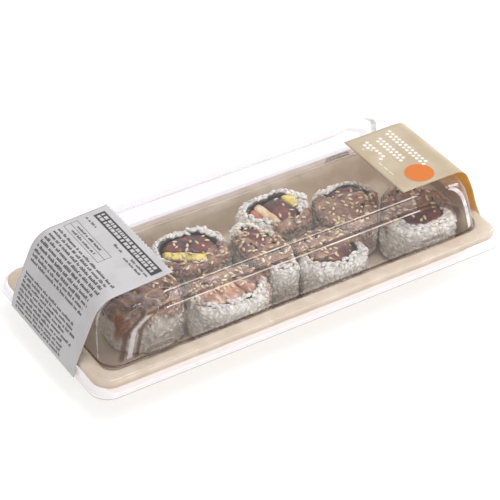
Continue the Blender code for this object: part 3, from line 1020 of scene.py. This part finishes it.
def seed_frames(tree):
    """The seeds of the solids, then more on level food; ripples leave bare patches."""
    draw = random.Random(23)
    frames = []
    placed = []
    for centre, turn in fused_seeds():
        frames.append((centre, [axis * 1.06 for axis in lying((0.0, 0.0, 1.0), turn, 0.0)]))
        placed.append(centre)
    fused = len(frames)
    for _ in range(SEED_TRIES):
        if len(frames) == fused + EXTRA_SEEDS:
            break
        x = draw.uniform(-58.0, 92.0)
        y = draw.gauss(-5.0 - 0.03 * x, 10.5)
        turn = draw.uniform(0.0, math.tau)
        if ripple(x * 0.7, y * 0.7) < draw.uniform(-0.9, 0.5):
            continue
        if any((x - p.x) ** 2 + (y - p.y) ** 2 < EXTRA_SPACING ** 2 for p in placed):
            continue
        centre, east, north = (drop(tree, x + dx, y + dy) for dx, dy in ((0, 0), (1, 0), (0, 1)))
        if min(centre, east, north) < EXTRA_ABOVE:
            continue
        if max(abs(east - centre), abs(north - centre)) > STEEPEST:
            continue
        normal = (centre - east, centre - north, 1.0)
        axes = lying(normal, turn, draw.uniform(-0.25, 0.25))
        size = draw.uniform(0.88, 1.05)
        place = Vector((x, y, centre + draw.uniform(0.25, 0.55)))
        placed.append(place)
        frames.append((place, [axis * size for axis in axes]))
    print("seeds on the solids", fused, "and more", len(frames) - fused)
    return frames


topped = food_tree(rice_cores + fillings + sheets + [rice_grains, sauce_film])
seed_unit = spindle(**SHOWN_SEED, rings=5, sides=8, blunt=0.8)
sesame_seeds = scatter("sesame_seeds", seed_unit, seed_frames(topped), sesame_finish())
print("sesame faces", len(sesame_seeds.data.polygons))

# %% [markdown]
# The lid is one sheet of clear film drawn over a mould. From its lip it rises round the tray's rim,
# steps in on a flat shelf and goes up as a dome. Along the middle the dome's long top edges are cut
# back by a sloping band, which ends in a rounded shoulder near each corner. A small lug stands at
# the foot of the dome near each corner. A ring is drawn at every station and bent by these rules.
# A station is half length, half width, corner radius, height and half width along the middle.

# %% Lid shape
LID_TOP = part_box("lid")[1].z / MM
FILM = 0.4
BAND_END = 64.0
BAND_BLEND = 11.0
LUG_AT = 74.0
LUG_HALF = 7.0
LUG_HEIGHT = 21.6
LUG_DEPTH = 1.5
BULGE = 0.8
DIMPLE = 0.15
FOLD_HEIGHTS = (19.5, 22.6, 27.5, 31.3, 34.4, 36.6, 38.4)
FOLD_PLACES = (86.5, 85.0, 83.0, 81.5, 80.0, 77.0, 73.0)
LID_STATIONS = (
    (111.0, 51.4, 9.5, 12.8, 51.4), (110.2, 50.0, 10.2, 12.8, 50.0),
    (109.8, 49.6, 10.0, 13.3, 49.6), (109.3, 48.95, 9.5, 17.2, 48.95),
    (109.2, 48.8, 9.35, 18.2, 48.8), (108.8, 48.4, 8.9, 19.3, 48.4),
    (107.9, 47.5, 8.5, 19.85, 47.5), (106.5, 46.1, 8.0, 19.85, 46.1),
    (103.0, 42.6, 9.0, 19.85, 42.6), (101.8, 41.4, 9.0, 19.85, 41.4),
    (101.2, 40.7, 9.0, 20.5, 40.7), (101.0, 40.2, 9.1, 21.6, 40.2),
    (100.9, 39.8, 9.1, 23.0, 39.8), (100.7, 39.4, 9.2, 25.0, 39.4),
    (100.4, 38.9, 9.3, 27.5, 38.9), (100.0, 38.2, 9.5, 31.0, 38.2),
    (99.3, 37.3, 9.8, 35.0, 37.3), (98.6, 36.6, 9.95, 37.7, 36.6),
    (98.35, 36.42, 10.0, 38.35, 36.42), (98.1, 36.4, 10.1, 38.9, 36.15),
    (97.5, 36.4, 10.2, 39.8, 35.75), (96.3, 36.3, 10.5, 41.4, 35.05),
    (94.8, 36.25, 10.8, 42.8, 34.45), (93.2, 36.2, 11.0, 43.6, 34.1),
    (91.7, 36.1, 11.0, 44.2, 33.85), (90.2, 35.9, 11.0, 44.7, 33.62),
    (88.6, 35.5, 11.0, 45.05, 33.4), (87.0, 35.0, 11.0, LID_TOP, 32.9),
    (86.0, 34.0, 10.6, LID_TOP, 31.9), (83.0, 31.0, 9.6, LID_TOP, 28.9),
)


def plateau(value, middle, half, edge):
    """1 within half of the middle, 0 beyond, with soft edges."""
    return smooth((half + 0.5 * edge - np.abs(value - middle)) / edge)


def lid_points():
    """The lid's rings: long sides cut back, ends bulged past their fold, lugs pushed out."""
    stations = round_off(list(LID_STATIONS))
    rings = []
    for half_length, half_width, corner, z, middle_width in stations:
        level = np.array(ring(half_length, half_width, corner, z))
        along = np.abs(level[:, 0])
        cut = 1.0 - smooth((along - BAND_END) / BAND_BLEND)
        level[:, 1] *= 1.0 - cut * (half_width - middle_width) / half_width
        fold = np.interp(z, FOLD_HEIGHTS, FOLD_PLACES)
        dome = smooth((z - 20.2) / 2.0) * smooth((43.0 - z) / 4.0)
        bulge = BULGE * smooth((along - fold) / 1.5) * dome
        lug = LUG_DEPTH * plateau(along, LUG_AT, LUG_HALF, 1.6) * plateau(z, LUG_HEIGHT, 1.4, 0.9)
        level[:, 1] += np.sign(level[:, 1]) * (bulge * np.abs(level[:, 1]) / half_width + lug)
        if z > LID_TOP - 0.5:
            level[:, 2] -= DIMPLE * smooth((along - 69.5) / 1.0) * smooth((80.0 - along) / 1.0)
        rings.append(level)
    return rings


print("lid stations", len(LID_STATIONS))

# %% [markdown]
# Clear film is mostly a hole in the picture: it shows by what it reflects, more so where it is seen
# edge-on, and by its folds. Only the side that a ray enters reflects, or the two sides of the film
# would add up to fog.
# Near the ends of the long sides a pale highlight is painted between two brown lines, which stand
# for the food's colour reflected where the film is bent tightly. Those lines, dark shade outlines
# round the lugs and a pale reflection loop are painted light in a second shader over the film,
# placed by distances along, across and up.

# %% Film finish
FOLD_LEAN = 0.36
FOLD_BEND = 7.0
FOLD_FOOT = 93.7


def film_finish(name, haze, shade, broken=0.0, mirror=8.0, fold_lines_painted=False):
    """Film with a share of haze; broken makes the haze come and go along the pack."""
    film = Recipe(name)
    smudge = film.noise(18.0, 3.0)
    entering = 1.0 - film.node("ShaderNodeNewGeometry", {}, {}, "Backfacing")
    edge = film.node("ShaderNodeFresnel", {}, {"IOR": 1.45})
    see = film.node("ShaderNodeBsdfTransparent", {}, {"Color": (0.985, 0.98, 0.99, 1.0)})
    gloss = film.node(
        "ShaderNodeBsdfPrincipled", {},
        {"Base Color": shade, "Roughness": 0.04 + smudge * 0.05, "IOR": mirror},
    )
    dashes = film.noise(5.0, 2.0, stretch=(0.35, 1.0, 1.0)).rise(0.42, 0.58)
    steady = haze * (1.0 - broken) + dashes * (haze * broken)
    veil = entering * (steady + smudge.rise(0.45, 0.8) * 0.02 + edge * 0.9)
    skin = film.node("ShaderNodeMixShader", {}, {0: veil, 1: see, 2: gloss})
    # Painted highlight, shade and reflection lines go over the film here.
    if fold_lines_painted:
        skin = painted_fold_lines(film, skin, entering)
    film.node("ShaderNodeOutputMaterial", {}, {"Surface": skin})
    return film.material


def painted_fold_lines(film, skin, entering):
    """Paints a pale highlight between two brown reflection lines near each long side's end, a pale
    reflection loop and dark shade outlines round the lugs.
    """
    x, y, z = film.axes()
    along = abs(x)
    out = abs(y)
    past = along + z * FOLD_LEAN + z.rise(33.0, 40.0) * FOLD_BEND - FOLD_FOOT
    left = x.rise(1.0, 0.0)
    front = y.rise(1.0, 0.0)
    foot = z.rise(20.5, 23.0) * out.rise(32.0, 34.0)
    # Painted light: brown reflection lines on the folds, a pale highlight between them, a pale
    # reflection loop and dark shade outlines round the lugs.
    first = past.band(-1.4, -0.2, 1.0, 2.2) * z.rise(39.6, 38.6)
    arch = past.band(2.6, 4.0, 6.8, 8.6) * z.rise(40.0, 39.2) * z.rise(26.0, 32.0)
    second = past.band(6.6, 7.6, 8.8, 10.4) * z.rise(43.5, 41.0) * left
    brown = (first * left + arch * (1.0 - left) + second) * foot * (front * 0.85 + 0.15)
    pale = past.band(2.3, 3.4, 5.2, 6.8) * z.rise(39.4, 38.4) * foot * left
    across_x = (along - 70.5) / 6.2
    across_y = (out - 33.0) / 3.0
    from_knob = across_x * across_x + across_y * across_y
    loop = from_knob.band(0.7, 0.88, 1.02, 1.2) * z.rise(39.6, 41.0) * left * front
    lug = along.band(66.4, 67.4, 80.6, 81.6) * z.band(20.0, 20.5, 23.0, 23.6) * out.rise(38.0, 39.0)
    inside = along.band(68.4, 69.6, 78.4, 79.6) * z.band(20.8, 21.3, 22.2, 22.8)
    outline = lug * (1.0 - inside * 0.8)
    colour = film.blend(pale, paint(74, 50, 40), paint(238, 230, 238))
    colour = film.blend(outline, colour, paint(104, 98, 86))
    colour = film.blend(loop, colour, paint(224, 206, 178))
    line = film.node(
        "ShaderNodeBsdfPrincipled", {}, {"Base Color": colour, "Roughness": 0.2, "IOR": 1.45}
    )
    share = entering * (brown * 0.8 + pale * 0.36 + outline * 0.5 + loop * 0.3)
    return film.node("ShaderNodeMixShader", {}, {0: share, 1: skin, 2: line})


# All finishes after the clear one paint light on the film: fold highlights, shade lines, white glare on
# skirt and lip, a grey shade line on the lip's edge and highlight streaks at the corners.
FILM_FINISHES = (
    film_finish("clear_film", 0.025, paint(222, 218, 226), fold_lines_painted=True),
    film_finish("fold_highlight", 0.62, paint(252, 246, 238), 0.4, 1.5),
    film_finish("fold_shade_line", 0.72, paint(80, 56, 52), 0.5, 1.4),
    film_finish("skirt_white_glare", 0.62, paint(244, 236, 237), 0.0, 1.5),
    film_finish("lip_white_glare", 0.4, paint(236, 232, 236), 0.0, 1.5),
    film_finish("lip_edge_shade", 0.7, paint(150, 147, 154), 0.0, 1.5),
    film_finish("corner_highlight_streak", 0.6, paint(252, 250, 252), 0.35, 3.0),
    film_finish("faint_corner_highlight", 0.3, paint(250, 246, 250), 0.5, 1.5),
)
CLEAR, FOLD_HIGHLIGHT, SHADE_LINE, SKIRT_GLARE, LIP_GLARE, LIP_EDGE_SHADE, CORNER_HIGHLIGHT, FAINT_HIGHLIGHT = range(len(FILM_FINISHES))
print("film finishes", len(FILM_FINISHES))

# %% [markdown]
# At tight folds the film is painted with a whitish highlight and a dark shade line beside it, a
# shade line is painted along the dome's foot and highlight streaks down the corners. The skirt round
# the rim and the lip's face are painted with a milky white glare, and the lip's cut edge with a grey
# shade line. So each face of the lid is told, from its height and its place in the ring, which finish
# it wears. Then the sheet gets its thickness.

# %% Lid
LIP_TOP = 13.0
SKIRT_TOP = 15.9
SHELF = (19.9, 20.4)
HIGHLIGHT_FOLD = (38.2, 38.8)
SHADE_FOLD_END = 40.3
TOP_FOLD = (44.3, 44.8)
HIGHLIGHT_STRIPS = (10, 11)
FAINT_HIGHLIGHT_STRIP = 2


def mirrored(strip, size):
    """The same strip in the first quarter of a ring."""
    strip = min(strip, size - 1 - strip)
    return min(strip, size // 2 - 1 - strip)


def lid_face_light(middle, strip):
    """Which finish a face wears, clear or painted light, from its middle and its strip in the ring."""
    x, y, z = abs(middle[0]), abs(middle[1]), middle[2]
    right = middle[0] > 0.0
    front = middle[1] < 0.0
    if z < LIP_TOP:
        return LIP_GLARE
    if z < SKIRT_TOP:
        return SKIRT_GLARE
    if x < BAND_END + 4.0 and (HIGHLIGHT_FOLD[0] < z < HIGHLIGHT_FOLD[1] or (z > 44.9 and y > 32.95)):
        return FOLD_HIGHLIGHT
    if x < BAND_END + 14.0 and HIGHLIGHT_FOLD[1] < z < SHADE_FOLD_END:
        return SHADE_LINE if front else FAINT_HIGHLIGHT
    if front and x < BAND_END + 4.0 and TOP_FOLD[0] < z < TOP_FOLD[1]:
        return SHADE_LINE
    if 21.0 < z < 44.0 and right and strip in HIGHLIGHT_STRIPS:
        return CORNER_HIGHLIGHT
    if 21.0 < z < 44.6 and strip == FAINT_HIGHLIGHT_STRIP:
        return FAINT_HIGHLIGHT
    # A painted shade line runs along the dome's foot on the shelf.
    if SHELF[0] < z < SHELF[1] and y < 42.0:
        return SHADE_LINE
    return CLEAR


def make_lid():
    rings = lid_points()
    size = len(rings[0])
    points = np.concatenate(rings)
    faces = bands(len(rings), size) + strips((len(rings) - 1) * size, size)
    item = make_piece("clear_lid", points, faces, FILM_FINISHES[CLEAR], ("lid",))
    for finish in FILM_FINISHES[1:]:
        item.data.materials.append(finish)
    for index, face in enumerate(item.data.polygons):
        middle = points[list(face.vertices)].mean(axis=0)
        face.material_index = lid_face_light(middle, mirrored(index % size, size))
    skin = item.modifiers.new("film", "SOLIDIFY")
    skin.thickness = FILM * MM
    skin.offset = -1.0
    skin.material_offset_rim = LIP_EDGE_SHADE - LIP_GLARE
    return settle(item)


lid = make_lid()
print("lid faces", len(lid.data.polygons))

# %% [markdown]
# Label and sticker are strips of paper that leave the flat top, bend over the end and reach down to
# the lip. A path gives the bend. One method finds any place on a sheet from its distance along and
# across, so that the paper and the print on it follow the same bend.

# %% Bends of the papers
PAPER = 0.3
ON_TOP = LID_TOP + 0.2 + 0.5 * PAPER
BEND_STEP = 0.6


def arc(centre_x, centre_z, radius, start, end, steps):
    """Points on part of a circle; start and end are in degrees."""
    angles = [math.radians(start + (end - start) * step / steps) for step in range(steps + 1)]
    return [(centre_x + radius * math.cos(a), centre_z + radius * math.sin(a)) for a in angles]


class Sheet:
    """A strip that follows a path in the XZ plane; slant shifts it across as it goes along."""

    def __init__(self, path, front, back, slant):
        self.path = np.array(path)
        steps = np.hypot(*np.diff(self.path, axis=0).T)
        self.along = np.concatenate([[0.0], np.cumsum(steps)])
        self.front = front
        self.width = back - front
        self.slant = slant

    def on_path(self, u):
        return np.array([np.interp(u, self.along, line) for line in self.path.T])

    def spot(self, u, v, lift=0.0):
        """The point u along and v across from the front edge, lifted off the paper."""
        x, z = self.on_path(u)
        dx, dz = self.on_path(u + BEND_STEP) - self.on_path(u - BEND_STEP)
        run = math.hypot(dx, dz)
        outward = np.sign(self.path[-1, 0])
        y = self.front + v + self.slant * u / self.along[-1]
        return (x - outward * dz / run * lift, y, z + outward * dx / run * lift)


LABEL_EDGE = 57.5
label_sheet = Sheet(
    round_off([(-LABEL_EDGE, ON_TOP), *arc(-88.0, ON_TOP - 13.0, 13.0, 90.0, 156.0, 20),
               (-108.6, 21.2), (-109.9, 18.4), (-111.7, 12.1)], 2),
    -24.0, 36.0, -4.8,
)
STICKER_EDGE = 63.8
sticker_sheet = Sheet(
    round_off([(STICKER_EDGE, ON_TOP), *arc(94.0, ON_TOP - 8.2, 8.2, 90.0, 22.0, 14), (104.7, 33.4),
               (107.4, 24.0), (108.7, 20.4), (109.8, 18.2), (111.6, 12.1)], 2),
    -28.5, 20.5, 0.0,
)
print("label is", round(label_sheet.along[-1]), "mm long, sticker", round(sticker_sheet.along[-1]))

# %% [markdown]
# Both papers show a faint cloudiness and short fibres. The label is cool white thermal paper, the
# sticker brown kraft. Light comes through kraft, so its inner side, seen through the lid, is painted
# amber and given a faint glow in place of that light: a solid paper would look black there. The
# label was torn off against a toothed edge, so its first row zigzags.

# %% Papers
KRAFT_RIPPLE = -0.1


def paper_finish(name, base, shade, fleck, painted_backlight=0.0):
    """Paper; the last argument paints as emission, in the paper's colour, light coming through from
    behind.
    """
    paper = Recipe(name)
    cloud = paper.noise(14.0, 3.0)
    fibre = paper.noise(0.5, 3.0, stretch=(1.0, 0.3, 1.0))
    colour = paper.blend(cloud.rise(0.4, 0.65), base, shade)
    colour = paper.blend(fibre.rise(0.62, 0.75) * 0.4, colour, fleck)
    return paper.finish(colour, 0.60, Normal=paper.bump(fibre + cloud, 0.05),
                        Emission_Color=colour, Emission_Strength=painted_backlight)


def make_sheet(name, sheet, material, node, columns, tooth=0.0, ripple_height=0.0, inside=None):
    """A grid of points over a sheet, given its thickness; inside is the finish of its lower side."""
    us = np.concatenate([[0.0, 1.2], np.arange(3.0, sheet.along[-1], 0.9), [sheet.along[-1]]])
    points = []
    for row, u in enumerate(us):
        for column in range(columns + 1):
            v = sheet.width * column / columns
            lift = ripple_height * math.sin(v / 7.0) * math.exp(-u / 12.0)
            shift = tooth * (column % 2) if row == 0 else 0.0
            points.append(sheet.spot(u + shift, v, lift))
    faces = []
    for row in range(len(us) - 1):
        for column in range(columns):
            start = row * (columns + 1) + column
            faces.append((start, start + 1, start + columns + 2, start + columns + 1))
    item = make_piece(name, points, faces, material, (node,))
    thick = item.modifiers.new("paper", "SOLIDIFY")
    thick.thickness = PAPER * MM
    thick.offset = 0.0
    if inside:
        item.data.materials.append(inside)
        thick.material_offset = 1
    return settle(item)


white_paper = paper_finish(
    "label_paper", paint(190, 187, 189), paint(183, 180, 182), paint(174, 170, 174)
)
kraft_paper = paper_finish(
    "kraft_paper", paint(185, 170, 147), paint(177, 160, 135), paint(163, 142, 112)
)
label = make_sheet("paper_label", label_sheet, white_paper, "label", 46, tooth=0.7)
# Painted light: the kraft's inner side is painted amber and glows a little, in place of light coming
# through the paper.
painted_amber_glow = paper_finish(
    "kraft_painted_backlight", paint(206, 150, 74), paint(190, 136, 62), paint(176, 122, 54), 0.3
)
sticker = make_sheet("kraft_sticker", sticker_sheet, kraft_paper, "sticker", 24,
                     ripple_height=KRAFT_RIPPLE, inside=painted_amber_glow)
print("paper faces", len(label.data.polygons) + len(sticker.data.polygons))

# %% [markdown]
# The print is made of plain marks. A dark bar with two rows of light blocks, rows of short strokes
# and two boxes give the label its grey texture. The sticker has an orange disc, staggered rows
# of white dots and a few dashes. Every mark is a thin patch of ink that follows the bend of its
# sheet, a little above the paper. All marks of one ink are one piece.

# %% Ink
INK_LIFT = 0.5 * PAPER + 0.05
STROKE_GAP = 0.24
GROUP_GAP = 0.75


class Ink:
    """Collects patches on one sheet and makes them into one piece."""

    def __init__(self, sheet, lift):
        self.sheet = sheet
        self.lift = lift
        self.points = []
        self.faces = []

    def patch(self, u0, u1, v0, v1, steps=1):
        start = len(self.points)
        for step in range(steps + 1):
            u = u0 + (u1 - u0) * step / steps
            self.points.append(self.sheet.spot(u, v0, self.lift))
            self.points.append(self.sheet.spot(u, v1, self.lift))
        for step in range(steps):
            low = start + 2 * step
            self.faces.append((low, low + 1, low + 3, low + 2))

    def disc(self, u, v, radius, sides=64):
        start = len(self.points)
        for side in range(sides):
            turn = math.tau * side / sides
            across = v + radius * math.sin(turn)
            self.points.append(self.sheet.spot(u + radius * math.cos(turn), across, self.lift))
        self.faces.append(tuple(range(start, start + sides)))

    def dots(self, u, v0, count, pitch, radius):
        """Two staggered rows of solid dots."""
        for index in range(2 * count):
            self.disc(u + 0.85 * pitch * (index % 2), v0 + 0.5 * pitch * index, radius, 20)

    def line(self, u, height, v0, v1, draw):
        """A row of short strokes in groups."""
        v = v1
        while v > v0:
            for _ in range(draw.randint(2, 9)):
                breadth = draw.choice((0.45, 0.6, 0.75))
                tall = height * draw.choice((0.7, 0.7, 1.0))
                if v - breadth > v0:
                    self.patch(u + height - tall, u + height, v - breadth, v, 2)
                v -= breadth + STROKE_GAP
            v -= GROUP_GAP

    def make(self, name, material):
        return make_piece(name, self.points, self.faces, material, recalculate=False)


def ink_finish(name, base, worn):
    ink = Recipe(name)
    patchy = ink.noise(0.8, 3.0)
    return ink.finish(ink.blend(patchy.rise(0.5, 0.75) * 0.5, base, worn), 0.5)


black_ink = ink_finish("black_ink", paint(58, 54, 56), paint(96, 92, 95))
print("ink lies", round(INK_LIFT, 2), "mm above the middle of its paper")

# %% [markdown]
# A row on the label is given by its distance along, its height and its two ends. Below the boxes
# stand two blocks of nine rows. Their rows end at random, so that each block has a ragged edge. A
# block is given by its first row's distance along, the pitch of its rows and their height.

# %% Marks on the label
BAR = (3.9, 9.9, 3.0, 56.2)
SHORT_ROWS = ((12.6, 1.2, 47.5, 56.8), (11.8, 1.3, 25.0, 32.0), (11.0, 1.2, 3.4, 18.0),
              (13.2, 1.2, 6.0, 21.0))
BOXES = ((18.0, 21.6), (21.6, 25.2))
BOX_ENDS = (24.8, 57.0)
BOX_LINE = 0.18
BOX_ROWS = ((19.2, 1.3, 30.5, 53.0), (22.8, 1.3, 31.0, 52.0))
ROWS_IN_A_BLOCK = 9
UPPER_BLOCK = (27.4, 2.45, 1.45)
LOWER_BLOCK = (53.8, 2.12, 1.25)
ROW_START = 56.5
BAR_ROWS = (4.9, 7.2)
BAR_MARK_HEIGHT = 1.7


def print_label():
    draw = random.Random(31)
    ink = Ink(label_sheet, INK_LIFT)
    ink.patch(*BAR)
    for row in SHORT_ROWS:
        ink.line(*row, draw)
    for u0, u1 in BOXES:
        for edge in (u0, u1):
            ink.patch(edge, edge + BOX_LINE, *BOX_ENDS)
        for edge in BOX_ENDS:
            ink.patch(u0, u1, edge, edge + BOX_LINE, 2)
    for row in BOX_ROWS:
        ink.line(*row, draw)
    first, pitch, height = UPPER_BLOCK
    for row in range(ROWS_IN_A_BLOCK):
        end = 3.0 + 5.0 * draw.random() + 0.4 * row
        ink.line(first + pitch * row, height, end, ROW_START, draw)
    first, pitch, height = LOWER_BLOCK
    for row in range(ROWS_IN_A_BLOCK):
        end = 6.0 + 9.0 * draw.random()
        ink.line(first + pitch * row, height, end, ROW_START, draw)
    dark = ink.make("label_ink", black_ink)
    light = Ink(label_sheet, INK_LIFT + 0.05)
    for low in BAR_ROWS:
        v = 54.8
        while v > 5.5:
            breadth = draw.uniform(1.0, 2.6)
            light.patch(low, low + BAR_MARK_HEIGHT, v - breadth, v)
            v -= breadth + draw.choice((0.5, 0.6, 1.2))
    pale_ink = ink_finish("bar_marks", paint(190, 186, 188), paint(150, 146, 148))
    light.make("label_light_ink", pale_ink)
    return dark


print("label ink patches", len(print_label().data.polygons))

# %% [markdown]
# The sticker's marks are larger: a disc near its front corner and three bands of dots, each shorter
# than the one before, with a row of fine dashes after them.

# %% Marks on the sticker
DISC = (15.7, 9.2, 7.1)
DOT_BANDS = ((21.6, 14.0, 12), (14.2, 22.0, 8), (6.8, 28.0, 6))
DOT_PITCH = 2.7
DOT_RADIUS = 0.95
DASHES = (14.0, 18.5, 23.0, 27.5, 32.0, 36.5)
DASH_LENGTH = 3.2


def print_sticker():
    orange = Ink(sticker_sheet, INK_LIFT)
    orange.disc(*DISC)
    orange_ink = ink_finish("orange_ink", paint(203, 110, 36), paint(198, 120, 54))
    orange.make("orange_disc", orange_ink)
    white = Ink(sticker_sheet, INK_LIFT)
    for u, v0, count in DOT_BANDS:
        white.dots(u, v0, count, DOT_PITCH, DOT_RADIUS)
    for v in DASHES:
        white.patch(4.0, 4.45, v, v + DASH_LENGTH)
    white_ink = ink_finish("white_ink", paint(232, 224, 216), paint(222, 208, 190))
    white.make("white_dashes", white_ink)


print_sticker()

# %% [markdown]
